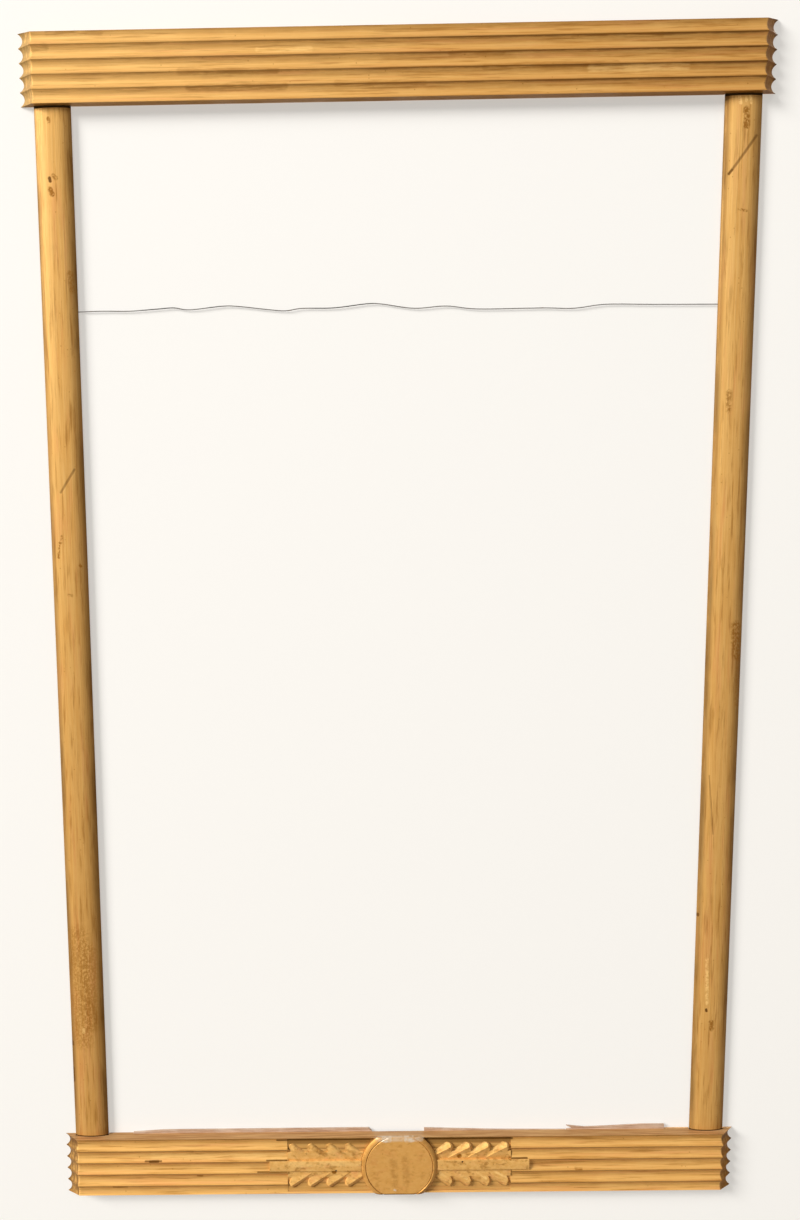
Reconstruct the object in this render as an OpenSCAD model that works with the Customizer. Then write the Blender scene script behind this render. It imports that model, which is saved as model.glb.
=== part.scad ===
// Advertising display frame: a gilt wooden wall frame with fluted rails and half-round posts.
// X runs to the right, Z is up and the front faces -Y. The origin is the middle of the
// header rail's back face, which lies against the wall at Y = 0.

/* [Opening] */
// Clear width between the posts
opening_w = 757; // [640:1:900]
// Clear height between the rails
opening_h = 1284; // [1000:1:1400]

/* [Rails] */
// Length of the header rail past each post
header_overhang = 16; // [4:0.5:30]
// Length of the bottom rail past each post
bottom_overhang = 13.5; // [4:0.5:30]
// Thickness of both rails
rail_d = 17.5; // [16:0.5:26]
// Number of flutes on each rail, an odd number
flute_count = 5; // [5:2:7]
// Height of one flute, from arris to arris
flute_pitch = 16.2; // [15:0.1:18]
// Depth of a flute
flute_depth = 3.6; // [2.5:0.1:4.2]
// Width of the flat that is left on each arris
arris_w = 0.8; // [0.4:0.1:2]
// Length that the bevelled end takes off the front face
end_run = 16.5; // [12:0.5:26]
// Slope of the header's top face and the bottom rail's under face, as its rise over their depth
outer_drop = 2.4; // [0:0.1:3.2]

/* [Posts] */
// Width of a post
post_w = 43; // [40:0.5:50]
// Gap between a post's back and the wall
post_back = 2.5; // [2.5:0.1:4]
// Height of a post's square edge
post_edge = 1.2; // [0.8:0.1:2]
// Rise of the rounded front above the square edge
post_crown = 5.4; // [3.5:0.1:6]
// Thickness of the lap at each end of a post
lap_t = 3.4; // [2.5:0.1:4]
// Length of the lap at each end of a post
lap_l = 38; // [30:1:60]
// Opened joint between a post's shoulder and the header
joint_gap = 2.8; // [0:0.1:5]
// Clearance on each side of a lap in its housing
lap_clearance = 0.25; // [0.1:0.05:0.6]

/* [Medallion] */
// Diameter of the medallion before its top and bottom are cut flat
medallion_d = 99; // [92:0.5:110]
// Height of the medallion's face above the arrises
medallion_proud = 2.5; // [1:0.1:5]
// Width of the rounded rim
rim_w = 6; // [3:0.1:10]
// Fall of the rounded rim
rim_drop = 2.6; // [1:0.1:4]
// Width of the groove between the rim and the face
groove_w = 1.8; // [0.8:0.1:3]
// Diameter of the peg behind the medallion
peg_d = 10; // [6:0.5:16]
// Depth of the peg in the medallion
peg_in_medallion = 3.5; // [2:0.1:4]
// Depth of the peg in the rail
peg_in_rail = 8; // [4:0.5:9]

/* [Leaf sprays] */
// Distance from the middle of the rail to a spray's outer end
spray_reach = 145; // [130:1:180]
// Length of the tongue that runs on along the middle flute
tongue_l = 23.5; // [10:0.5:40]
// Depth below the flutes of the seat that is cut for the sprays and medallion
seat_below = 0.4; // [0.2:0.1:1.5]
// Height of the ledge that is left above and below the seat
ledge_h = 2; // [1:0.1:4]
// Height of the flat bar's face above the arrises
bar_proud = 0.4; // [0:0.1:2]
// Number of leaves on each side of a spray's bar
leaf_count = 4; // [3:1:5]
// Distance from leaf to leaf along the bar
leaf_pitch = 25; // [20:0.5:28]
// Length of a leaf
leaf_l = 44; // [36:0.5:46]
// Width of a leaf
leaf_w = 17; // [16:0.5:20]
// Length of the first leaves' roots under the medallion
leaf_tuck = 14.5; // [12:0.5:16]
// Angle of a leaf to the bar
leaf_lean = 38; // [30:1:40]
// Width of the steep bevel along a leaf's outer edge
leaf_bevel = 3.4; // [2:0.1:4.5]
// Fall of a leaf's face from that bevel to its inner edge
leaf_fall = 2.2; // [1:0.1:2.6]
// Angle at which a leaf dips towards its root
leaf_dip = 3; // [0:0.5:4]
// Clearance of the applied pieces in their seats
seat_clearance = 0.2; // [0.1:0.05:0.5]

/* [Back lip] */
// Length of the seat for the back lip
lip_seat_l = 693; // [600:1:740]
// Height of the seat for the back lip
lip_seat_h = 12; // [8:0.5:20]
// Thickness of the back lip
lip_t = 3; // [2:0.1:4]
// Height of the left remnant above the rail
left_lip_h = 4.5; // [3:0.1:8]
// Height of the right remnant above the rail at its inner end
right_lip_h = 3.5; // [2:0.1:8]
// Height of the sliver above the rail
sliver_h = 5.8; // [4:0.1:8]
// Distance from the middle of the rail to the broken inner ends
lip_break = 34; // [20:1:60]
// Distance from the middle of the rail to the split before the sliver
lip_split = 218; // [150:1:260]
// Length over which the right remnant is broken level with the rail
right_fade = 90; // [40:1:110]
// Length over which the left remnant tapers to its outer end
left_taper = 40; // [20:1:120]
// Width of that split
split_gap = 1; // [0.4:0.1:3]
// Distance from each end of the lip's seat to the nearest remnant
lip_end_gap = 0.5; // [0:0.5:20]

/* [Fasteners] */
// Diameter of the nails in the laps
nail_d = 2; // [1.4:0.1:2.6]
// Length of the nails in the laps, under the head
nail_l = 9.5; // [6:0.5:10]
// Distance between the two nails in a lap
nail_spacing = 20; // [12:1:26]
// Diameter of the brads
brad_d = 1.4; // [1:0.1:2]
// Length of the brads
brad_l = 9; // [6:0.5:10]
// Depth at which the brads' heads are set in the sprays
brad_set = 1.2; // [0.4:0.1:2]
// Distance from the middle of the rail to the brad in a spray
spray_brad_x = 82; // [70:1:100]

/* [Hanging wire] */
// Diameter of the wire
wire_d = 1.2; // [1:0.1:1.3]
// Distance of the wire below the middle of the header
wire_drop = 274; // [150:1:400]
// Diameter of the staples' wire
staple_d = 1.2; // [1:0.1:1.2]
// Distance between a staple's legs
staple_w = 6; // [4:0.5:10]
// Length of a staple's legs in the post
staple_in_post = 4; // [2:0.5:4]

/* [Hidden] */
$fn = 64;
// A cut runs this far past the face that it opens
past = 1;
rail_h = flute_count * flute_pitch;
header_w = opening_w + 2 * post_w + 2 * header_overhang;
bottom_w = opening_w + 2 * post_w + 2 * bottom_overhang;
post_x = (opening_w + post_w) / 2;
header_under = -rail_h / 2;
bottom_top = header_under - opening_h;
bottom_mid = bottom_top - rail_h / 2;
flute_chord = flute_pitch - arris_w;
flute_r = arc_radius(flute_chord / 2, flute_depth);
bevel_angle = atan2(rail_d, end_run);
outer_angle = atan2(outer_drop, rail_d);
post_t = post_edge + post_crown;
post_steps = 24;
housing_d = post_back + lap_t;
nail_head_d = 2.2 * nail_d;
nail_head_t = 0.5 * nail_d;
brad_head_d = 1.9 * brad_d;
brad_head_t = 0.5 * brad_d;
seat_d = flute_depth + seat_below;
seat_y = rail_d - seat_d;
medallion_t = seat_d + medallion_proud;
rim_r = arc_radius(rim_w, rim_drop);
bar_t = seat_d + bar_proud;
leaf_roll = atan2(leaf_fall, leaf_w - leaf_bevel);
leaf_root_x = medallion_d / 2 - leaf_tuck;
leaf_root_z = flute_pitch / 2 - 3.5;
lip_end = lip_seat_l / 2 - lip_end_gap;
left_brad_x = spread(-lip_end, -lip_break, 3);
right_brad_x = spread(lip_break, lip_split, 2);
sliver_brad_x = spread(lip_split + split_gap, lip_end, 2);
lip_brad_tip = brad_head_t + brad_l;
spray_brad_z = flute_pitch / 2 - brad_head_d;
spray_brad_front = rail_d + bar_proud - brad_set;
spray_brad_back = spray_brad_front - brad_head_t - brad_l;
wire_y = post_back - wire_d / 2;
staple_y = post_back - wire_d - staple_d / 2;
gilt = [0.80, 0.60, 0.32];
dull_gilt = [0.72, 0.52, 0.26];
bare_wood = [0.62, 0.47, 0.36];
steel = [0.45, 0.45, 0.46];

// Radius of the arc that has this half chord and this rise
function arc_radius(half_chord, rise) = (half_chord * half_chord + rise * rise) / (2 * rise);

// The middles of n equal stretches between two places
function spread(a, b, n) = [for (i = [0 : n - 1]) a + (b - a) * (i + 0.5) / n];

// The wire's route behind the posts and across the opening, as distance to the right of
// the middle and height above the wire's own level
wire_route = [
  [-416, 12], [-415, 5], [-410, 1], [-403, 0], [-382, 0], [-350, 0.5], [-318, 0], [-284, 2],
  [-265, 3], [-246, 0.5], [-208, 4], [-189, 3.5], [-151, -1], [-132, -2.5], [-113, 0],
  [-75, 0], [-37, 4], [-18, 3.5], [20, -2], [58, 0], [96, -4], [172, -4], [209, -5],
  [247, -1], [304, -2], [382, -3], [403, -3], [410, -2], [415, 2], [416, 9]
];
left_staple_z = -wire_drop;
right_staple_z = -wire_drop - 3;
wire_steps = 2;
wire_sides = 8;

// A flat shape drawn as seen from the front, raised by t from y_back behind the front
module front_plate(y_back, t) {
  translate([0, -y_back, 0]) rotate([90, 0, 0]) linear_extrude(height = t) children();
}

// A round bar along Y from y_back to y_front, both measured forward from the wall
module front_pin(d, y_back, y_front) {
  translate([0, -y_back, 0]) rotate([90, 0, 0]) cylinder(d = d, h = y_front - y_back);
}

// Moves its children to both posts
module at_posts() {
  for (side = [-1, 1]) translate([side * post_x, 0, 0]) children();
}

// Moves its children to the two nails of a lap
module at_lap_nails() {
  for (side = [-1, 1]) translate([side * nail_spacing / 2, 0, 0]) children();
}

// One flute's cutter along X, at the front plane of a face through the origin
module flute_cutter(length) {
  translate([0, flute_depth - flute_r, 0]) rotate([0, 90, 0])
    cylinder(r = flute_r, h = length, center = true, $fn = 96);
}

// A fluted rail of length w, centred, with both ends bevelled and the flutes turned round them;
// outer is 1 when its top face slopes down to the front, and -1 when its under face slopes up
module fluted_rail(w, outer) {
  face_end = w / 2 - end_run;
  difference() {
    linear_extrude(height = rail_h, center = true)
      polygon([[-w / 2, 0], [w / 2, 0], [face_end, -rail_d], [-face_end, -rail_d]]);
    for (i = [0 : flute_count - 1]) translate([0, 0, (i + 0.5) * flute_pitch - rail_h / 2]) {
      translate([0, -rail_d, 0]) flute_cutter(w);
      for (side = [0, 1]) mirror([side, 0, 0])
        translate([face_end, -rail_d, 0]) rotate([0, 0, bevel_angle]) flute_cutter(6 * rail_d);
    }
    translate([0, 0, outer * rail_h / 2]) rotate([outer * outer_angle, 0, 0])
      translate([-w / 2 - past, -2 * rail_d, outer > 0 ? 0 : -rail_h])
      cube([w + 2 * past, 2 * rail_d + past, rail_h]);
  }
}

// The housings that a rail has for both posts' laps, open at height z_open;
// up is 1 when the housing runs up from there and -1 when it runs down
module lap_housings(z_open, up) {
  w = post_w + 2 * lap_clearance;
  l = lap_l + lap_clearance;
  at_posts() {
    translate([-w / 2, -housing_d, up > 0 ? z_open - past : z_open - l])
      cube([w, housing_d + past, l + past]);
    translate([0, 0, z_open + up * lap_l / 2]) at_lap_nails()
      front_pin(nail_d, housing_d - past, post_back + nail_l);
  }
}

module header_rail() {
  color(gilt) difference() {
    fluted_rail(header_w, 1);
    lap_housings(header_under, 1);
  }
}

// The outline of the seat for the applied pieces, as seen from the front
module seat_outline() {
  translate([-spray_reach, outer_drop + ledge_h - rail_h / 2])
    square([2 * spray_reach, rail_h - 2 * ledge_h - outer_drop]);
  circle(d = medallion_d + 2 * seat_clearance);
}

module bottom_rail() {
  color(gilt) difference() {
    translate([0, 0, bottom_mid]) fluted_rail(bottom_w, -1);
    lap_housings(bottom_top, -1);
    translate([0, 0, bottom_mid]) front_plate(seat_y, seat_d + past) seat_outline();
    translate([0, 0, bottom_mid]) front_pin(peg_d, seat_y - peg_in_rail, seat_y + past);
    translate([-lip_seat_l / 2, -lip_t, bottom_top - lip_seat_h])
      cube([lip_seat_l, lip_t + past, lip_seat_h + past]);
    for (x = concat(left_brad_x, right_brad_x, sliver_brad_x))
      translate([x, 0, bottom_top - lip_seat_h / 2]) front_pin(brad_d, lip_t - past, lip_brad_tip);
    for (side = [-1, 1]) translate([side * spray_brad_x, 0, bottom_mid + side * spray_brad_z])
      front_pin(brad_d, spray_brad_back, seat_y + past);
  }
}

// Half-round section of a post, as seen from above
module post_section() {
  rim = [for (i = [0 : post_steps]) let (a = 180 * i / post_steps)
    [cos(a) * post_w / 2, -post_edge - post_crown * sin(a)]];
  translate([0, -post_back]) polygon(concat([[-post_w / 2, 0], [post_w / 2, 0]], rim));
}

// A post between its shoulders, with a thinner lap at each end and its staple at z_staple
module post(z_staple) {
  shoulder_l = opening_h - joint_gap;
  difference() {
    union() {
      translate([0, 0, bottom_top]) linear_extrude(height = shoulder_l) post_section();
      translate([0, 0, bottom_top - lap_l]) linear_extrude(height = opening_h + 2 * lap_l)
        intersection() {
          post_section();
          translate([-post_w / 2, -housing_d]) square([post_w, housing_d]);
        }
    }
    for (z = [header_under + lap_l / 2, bottom_top - lap_l / 2]) translate([0, 0, z])
      at_lap_nails() front_pin(nail_d, post_back - past, housing_d + past);
    translate([0, 0, z_staple]) staple_legs(post_back - past);
  }
}

module left_post() {
  color(gilt) translate([-post_x, 0, 0]) post(left_staple_z);
}

module right_post() {
  color(gilt) translate([post_x, 0, 0]) post(right_staple_z);
}

// The disc with its rounded rim, cut flat in line with the rail's top and bottom arrises
module medallion() {
  r = medallion_d / 2;
  color(dull_gilt) translate([0, -seat_y, bottom_mid]) rotate([90, 0, 0]) difference() {
    intersection() {
      rotate_extrude($fn = 96) intersection() {
        square([r, medallion_t]);
        difference() {
          union() {
            square([r - rim_w, medallion_t]);
            translate([r - rim_w, medallion_t - rim_r]) circle(r = rim_r);
          }
          translate([r - rim_w, medallion_t]) rotate(45)
            square(groove_w / sqrt(2), center = true);
        }
      }
      translate([-r, outer_drop - rail_h / 2, -medallion_t])
        cube([2 * r, rail_h - outer_drop, 4 * medallion_t]);
    }
    translate([0, 0, -past]) cylinder(d = peg_d, h = peg_in_medallion + past);
  }
}

module medallion_peg() {
  color(bare_wood) translate([0, 0, bottom_mid])
    front_pin(peg_d, seat_y - peg_in_rail, seat_y + peg_in_medallion);
}

// A pointed leaf from its root at the origin along +X, on the XY plane, with a steep bevel
// along its +Y edge and a face that falls from there to its -Y edge and to its root
module leaf() {
  side_r = arc_radius(leaf_l / 2, leaf_w / 2);
  intersection() {
    translate([leaf_l / 2, side_r - leaf_w / 2, 0]) cylinder(r = side_r, h = bar_t);
    translate([leaf_l / 2, leaf_w / 2 - side_r, 0])
      cylinder(r1 = side_r, r2 = side_r - leaf_bevel, h = bar_t);
    translate([leaf_l, leaf_w / 2 - leaf_bevel, bar_t]) rotate([leaf_roll, -leaf_dip, 0])
      translate([-2 * leaf_l, -2 * leaf_l, -3 * bar_t])
      cube([3 * leaf_l, 4 * leaf_l, 3 * bar_t]);
  }
}

// The right spray's leaves, bar and tongue, raised from its seat
module spray_body() {
  half_seat = rail_h / 2 - ledge_h - outer_drop - seat_clearance;
  intersection() {
    union() {
      for (i = [0 : leaf_count - 1], side = [0, 1]) mirror([0, side, 0])
        translate([leaf_root_x + i * leaf_pitch, leaf_root_z, 0]) rotate(leaf_lean) leaf();
      linear_extrude(height = bar_t) translate([0, -flute_pitch / 2])
        square([spray_reach - seat_clearance, flute_pitch]);
    }
    linear_extrude(height = bar_t) difference() {
      translate([0, -half_seat]) square([spray_reach - seat_clearance, 2 * half_seat]);
      circle(d = medallion_d + 2 * seat_clearance);
    }
  }
  // The tongue fills the middle flute, so its back has the flute's own curve
  intersection() {
    translate([spray_reach / 2, 0, seat_d - flute_depth + flute_r]) rotate([0, 90, 0])
      cylinder(r = flute_r - seat_clearance, h = spray_reach / 2 + tongue_l, $fn = 96);
    translate([spray_reach / 2, -flute_pitch / 2, 0])
      cube([spray_reach / 2 + tongue_l, flute_pitch, bar_t]);
  }
}

// The right spray in place, with the hole for its brad
module spray_in_place() {
  difference() {
    translate([0, -seat_y, bottom_mid]) rotate([90, 0, 0]) spray_body();
    translate([spray_brad_x, 0, bottom_mid + spray_brad_z]) {
      front_pin(brad_d, seat_y - past, rail_d);
      front_pin(brad_head_d, spray_brad_front - brad_head_t, rail_d + bar_proud + past);
    }
  }
}

module right_spray() {
  color(dull_gilt) spray_in_place();
}

module left_spray() {
  color(dull_gilt) translate([0, 0, bottom_mid]) rotate([0, 180, 0]) translate([0, 0, -bottom_mid])
    spray_in_place();
}

// A brad driven forward from the wall side, with its head level with the wall plane
module lip_brads(places) {
  color(steel) for (x = places) translate([x, 0, bottom_top - lip_seat_h / 2]) {
    front_pin(brad_head_d, 0, brad_head_t);
    front_pin(brad_d, brad_head_t, lip_brad_tip);
  }
}

// The brad of the right spray, its head set below the bar's face
module spray_brad() {
  color(steel) translate([spray_brad_x, 0, bottom_mid + spray_brad_z]) {
    front_pin(brad_d, spray_brad_back, spray_brad_front - brad_head_t);
    front_pin(brad_head_d, spray_brad_front - brad_head_t, spray_brad_front);
  }
}

module right_spray_brad() {
  spray_brad();
}

module left_spray_brad() {
  translate([0, 0, bottom_mid]) rotate([0, 180, 0]) translate([0, 0, -bottom_mid]) spray_brad();
}

// A strip standing in the rail's back seat, with an outline of x and height above the rail
module back_lip(outline, brads) {
  color(bare_wood) difference() {
    translate([0, 0, bottom_top]) front_plate(0, lip_t) polygon(outline);
    for (x = brads) translate([x, 0, bottom_top - lip_seat_h / 2]) {
      front_pin(brad_head_d, -past, brad_head_t);
      front_pin(brad_d, -past, lip_t + past);
    }
  }
}

module left_back_lip() {
  back_lip([
    [-lip_end, -lip_seat_h], [-lip_break, -lip_seat_h], [-lip_break, 0],
    [-lip_break - left_lip_h, left_lip_h], [left_taper - lip_end, 0.9 * left_lip_h],
    [-lip_end, 0.35 * left_lip_h]
  ], left_brad_x);
}

module right_back_lip() {
  back_lip([
    [lip_break, -lip_seat_h], [lip_split, -lip_seat_h], [lip_split, -0.2 * right_lip_h],
    [lip_split - right_fade, 0.1 * right_lip_h], [lip_break + right_fade / 3, 0.7 * right_lip_h],
    [lip_break, right_lip_h]
  ], right_brad_x);
}

// The sliver has sprung up at its pointed inner tip and is square at its outer end
module back_lip_sliver() {
  inner = lip_split + split_gap;
  back_lip([
    [inner, -lip_seat_h], [lip_end, -lip_seat_h], [lip_end, sliver_h],
    [lip_end - 5 * sliver_h, sliver_h], [lip_end - 11 * sliver_h, 0.7 * sliver_h],
    [inner + 4 * sliver_h, 0.45 * sliver_h], [inner, 0.93 * sliver_h],
    [inner + 1.7 * sliver_h, 0.22 * sliver_h], [inner, 0]
  ], sliver_brad_x);
}

// Two nails through a lap into the rail, their heads on the lap's back
module lap_nails(x, z) {
  color(steel) translate([x, 0, z]) at_lap_nails() {
    front_pin(nail_head_d, post_back - nail_head_t, post_back);
    front_pin(nail_d, post_back, post_back + nail_l);
  }
}

// The two legs of a staple from y_back to their tips in the post
module staple_legs(y_back) {
  for (side = [-1, 1]) translate([0, 0, side * staple_w / 2])
    front_pin(staple_d, y_back, post_back + staple_in_post);
}

// A staple over the wire, its crown upright against the wire
module staple(x, z) {
  color(steel) translate([x, 0, z]) {
    staple_legs(staple_y);
    translate([0, -staple_y, 0]) cylinder(d = staple_d, h = staple_w, center = true);
    for (side = [-1, 1]) translate([0, -staple_y, side * staple_w / 2]) sphere(d = staple_d);
  }
}

module left_staple() {
  staple(-post_x, left_staple_z);
}

module right_staple() {
  staple(post_x, right_staple_z);
}

// A smooth curve through the route's points
function route_point(i) = wire_route[max(0, min(len(wire_route) - 1, i))];
function blend(a, b, c, d, t) =
  0.5 * (2 * b + (c - a) * t + (2 * a - 5 * b + 4 * c - d) * t * t + (3 * b - a - 3 * c + d) * t * t * t);
function wire_point(s) = let (i = floor(s), t = s - i)
  blend(route_point(i - 1), route_point(i), route_point(i + 1), route_point(i + 2), t);
function wire_normal(k, last) =
  let (d = wire_point(min(last, k + 1) / wire_steps) - wire_point(max(0, k - 1) / wire_steps))
  [-d[1], d[0]] / norm(d);

// One tube along the route, with a ring of corners square to it at each step
module hanging_wire() {
  last = (len(wire_route) - 1) * wire_steps;
  n = wire_sides;
  corners = [for (k = [0 : last], j = [0 : n - 1])
    let (p = wire_point(k / wire_steps), q = wire_normal(k, last), a = 360 * (j + 0.5) / n)
    [p[0] + wire_d / 2 * cos(a) * q[0], -wire_y + wire_d / 2 * sin(a),
     p[1] + wire_d / 2 * cos(a) * q[1] - wire_drop]];
  walls = [for (k = [0 : last - 1], j = [0 : n - 1])
    let (a = k * n + j, b = k * n + (j + 1) % n) each [[a, b, b + n], [a, b + n, a + n]]];
  ends = [[for (j = [n - 1 : -1 : 0]) j], [for (j = [0 : n - 1]) last * n + j]];
  color(steel) polyhedron(points = corners, faces = concat(walls, ends));
}

header_rail();
bottom_rail();
left_post();
right_post();
medallion();
medallion_peg();
left_spray();
right_spray();
left_spray_brad();
right_spray_brad();
left_back_lip();
right_back_lip();
back_lip_sliver();
lip_brads(left_brad_x);  // left_lip_brads
lip_brads(right_brad_x);  // right_lip_brads
lip_brads(sliver_brad_x);  // sliver_brads
lap_nails(-post_x, header_under + lap_l / 2);  // top_left_nails
lap_nails(post_x, header_under + lap_l / 2);  // top_right_nails
lap_nails(-post_x, bottom_top - lap_l / 2);  // bottom_left_nails
lap_nails(post_x, bottom_top - lap_l / 2);  // bottom_right_nails
hanging_wire();
left_staple();
right_staple();
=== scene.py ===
"""Dresses a gilt wooden display frame: fluted rails, half-round posts, a medallion between leaf
sprays, the broken back lip and the hanging wire. Everything is in metres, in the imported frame."""

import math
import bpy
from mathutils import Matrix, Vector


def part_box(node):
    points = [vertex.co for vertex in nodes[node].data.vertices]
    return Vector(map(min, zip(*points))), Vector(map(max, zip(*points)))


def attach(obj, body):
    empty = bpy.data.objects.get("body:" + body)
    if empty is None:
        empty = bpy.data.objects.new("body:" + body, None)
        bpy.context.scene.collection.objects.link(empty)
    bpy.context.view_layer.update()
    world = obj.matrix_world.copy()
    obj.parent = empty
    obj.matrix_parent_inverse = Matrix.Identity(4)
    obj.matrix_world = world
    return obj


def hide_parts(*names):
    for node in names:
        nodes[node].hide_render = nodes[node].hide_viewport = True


bl_info = {
    "name": "Gilt Display Frame",
    "version": (1, 0, 0),
    "blender": (4, 5, 0),
    "location": "3D View > Sidebar > Display Frame",
    "description": "Finishes, ornaments, broken lip and hanging wire of a wall display frame",
    "category": "Object",
}

import bmesh
import bpy
from bpy.props import (
    FloatProperty, FloatVectorProperty, IntProperty, PointerProperty,
)
from mathutils import Matrix, Vector

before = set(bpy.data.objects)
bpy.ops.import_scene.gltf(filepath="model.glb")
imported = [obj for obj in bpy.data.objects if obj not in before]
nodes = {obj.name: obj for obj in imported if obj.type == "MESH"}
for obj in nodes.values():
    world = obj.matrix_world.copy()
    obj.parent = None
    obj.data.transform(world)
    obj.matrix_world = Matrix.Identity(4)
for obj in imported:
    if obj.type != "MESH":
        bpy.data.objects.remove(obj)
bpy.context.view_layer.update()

MM = 0.001

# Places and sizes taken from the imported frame
header_low, header_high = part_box("header_rail")
bottom_low, bottom_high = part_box("bottom_rail")
left_post_low, left_post_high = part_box("left_post")
right_post_low, right_post_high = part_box("right_post")
medallion_low, medallion_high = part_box("medallion")
FLUTES = 5
RAIL_H = header_high.z - header_low.z
PITCH = RAIL_H / FLUTES
BOTTOM_MID = (bottom_high.z + bottom_low.z) / 2
BOTTOM_TOP = bottom_high.z
LEFT_POST_X = (left_post_low.x + left_post_high.x) / 2
RIGHT_POST_X = (right_post_low.x + right_post_high.x) / 2
POST_HALF = (left_post_high.x - left_post_low.x) / 2
END_RUN = 16.5 * MM
JOINT_GAP = 2.8 * MM
POST_TOP = header_low.z - JOINT_GAP

# The ornament's seat: its floor's distance from the wall, and half its length
SEAT_Y = 13.5 * MM
SEAT_END = 145 * MM
# The sprays' bar below and above the rail's middle, the line that the leaves are set out
# from, and how much a leaf's ridge rises outwards
BAR_DOWN = 5.9 * MM
BAR_UP = 8.4 * MM
LEAF_LINE = 1.2 * MM
LEAF_RISE = 0.09
# How far the bar reaches behind the seat before it is cut flat there, and how far the ground
# under the leaves stays in front of that
OVERLAP = 1 * MM
BACK_STEP = 0.3 * MM
# How far a leaf's middle lies behind the seat's floor
LEAF_SINK = 0.3 * MM
# Room at the seat's end, for the ground and for the leaves
GROUND_ROOM = 0.03 * MM
LEAF_ROOM = 0.02 * MM
# Lengths of the cutters that make room for the medallion and for a brad's head
ROUND_CUT = 20 * MM
HEAD_CUT = 5 * MM
# The brads in the sprays: thickness of shank and head, and the hole's room
BRAD_D = 1.4 * MM
BRAD_HEAD_T = 0.7 * MM
BRAD_ROOM = 0.1 * MM
# Starts and ends along X of the wire's dark stretches, and how far they fade
WIRE_DARK_RUNS = ((-303 * MM, -260 * MM), (-226 * MM, -210 * MM), (-100 * MM, -29 * MM))
RUN_FADE = 6 * MM
# The wall and the floor
WALL_Y = 0.6 * MM
WALL_H = 4.0
FLOOR_DROP = 0.45
FLOOR_DEPTH = 5.0
BACKDROP_W = 9.0
# Rays other than the camera's pass the backdrop where they are shorter than this, so that
# the light behind the wall reaches the frame's back
REAR_REACH = 4 * MM

# The hanging wire's route behind the posts and across the opening, in millimetres:
# distance to the right of the middle, and height above the wire's own level
WIRE_ROUTE = [
    (-416, 12), (-415, 5), (-410, 1), (-403, 0), (-382, 0), (-350, 0.5), (-318, 0), (-284, 2),
    (-265, 3), (-246, 0.5), (-208, 4), (-189, 3.5), (-151, -1), (-132, -2.5), (-113, 0),
    (-75, 0), (-37, 4), (-18, 3.5), (20, -2), (58, 0), (96, -4), (172, -4), (209, -5),
    (247, -1), (304, -2), (382, -3), (403, -3), (410, -2), (415, 2), (416, 9),
]

# Marks of age on each piece, among them some painted highlights and painted shadows, in
# millimetres: kind, two ends as x and z from the piece's middle line and level, half the width,
# soft edge, and depth
HEADER_MARKS = [
    ("stain", -400, 37, -340, 36, 1.6, 3, 0.6), ("stain", -418, 20, -404, 21, 2, 4, 0.6),
    ("stain", -250, -8, -140, -9, 1.8, 4, 0.6), ("stain", -240, -26, -130, -26, 2, 4, 0.6),
    ("rub", -160, 14, -100, 14, 1.5, 3, 0.5), ("stain", -70, -24, 30, -25, 1.6, 4, 0.5),
    ("stain", 100, -9, 250, -8, 1.6, 4, 0.45), ("rub", 220, -13, 330, -13, 1.4, 4, 0.45),
    ("stain", 60, 6, 120, 7, 1.4, 3, 0.4), ("stain", 200, 23, 300, 22, 1.4, 3, 0.4),
]
BOTTOM_MARKS = [
    ("scratch", -330, 9.6, -309, 9.6, 0.2, 1.2, 0.8),
    ("scratch", -324, 9.2, -313, 9.3, 0.5, 1.3, 0.9),
    ("stain", -275, 22, -269, 22, 1.4, 2, 0.9), ("stain", -372, -26, -356, -27, 1.2, 2, 0.8),
    ("stain", -262, -12.6, -257, -12.6, 1, 1.5, 0.9), ("stain", 230, -6, 236, -6, 1.2, 2, 0.9),
    # Painted shadows: dark lines along the tongues' edges, where the flutes lie lower than the
    # tongue, and at the right tongue's end.
    ("scratch", -172, 9.3, -146, 9.3, 0.3, 0.9, 0.9),
    ("scratch", -184, -7, -146, -7, 0.2, 1.0, 0.8),
    ("scratch", 147, 9.4, 166, 9.4, 0.3, 0.9, 0.9),
    ("scratch", 168.2, 8, 168.2, -5, 0.3, 0.8, 0.9),
    ("scratch", 145.6, 9, 145.6, 20, 0.3, 1, 0.7),
    ("scratch", 145.6, -7, 145.6, -15, 0.3, 1, 0.7),
    # Painted shadow with grime: the two long lines under the seat's top ledge.
    ("scratch", -158, 36.6, -38, 36.2, 0.6, 1.6, 0.9),
    ("scratch", 34, 36.2, 146, 36.2, 0.8, 1.8, 0.9),
    ("chip", -28, 41, 28, 41, 2, 4, 0.9), ("rub", -320, 16, -150, 14, 2, 4, 0.4),
]
LEFT_POST_MARKS = [
    ("scratch", 10.7, -460, -6.5, -487, 0.5, 1.8, 0.5),
    ("stain", -4.4, -55, -3.8, -60, 1.2, 1.6, 0.9),
    ("scratch", -5.4, -122, -4.6, -125, 1.2, 1.4, 0.9),
    ("stain", -1, -119, 2, -122, 1.4, 2, 0.8), ("stain", -5.4, -134, -3, -140, 1.8, 2, 0.95),
    ("stain", -11, -548, -13, -566, 0.8, 1.4, 0.9), ("stain", -8, -540, -9, -548, 0.8, 1.4, 0.8),
    ("stain", 12, -575, 14, -577, 1, 1.4, 0.9), ("stain", -2, -612, 2, -613, 1, 1.6, 0.6),
    ("stain", 14, -230, 16, -250, 2, 3, 0.6),
    ("stain", -7, -1050, -6, -1190, 6, 14, 0.5), ("stain", 6, -1070, 6, -1170, 4, 12, 0.4),
    ("rub", -5, -1176, -5, -1180, 1, 2, 0.5),
    ("scratch", -20.6, -1194, -20.3, -1198, 1.2, 1, 0.8),
    ("scratch", -20.8, -1230, -20.6, -1248, 1.2, 1, 0.8),
]
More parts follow.
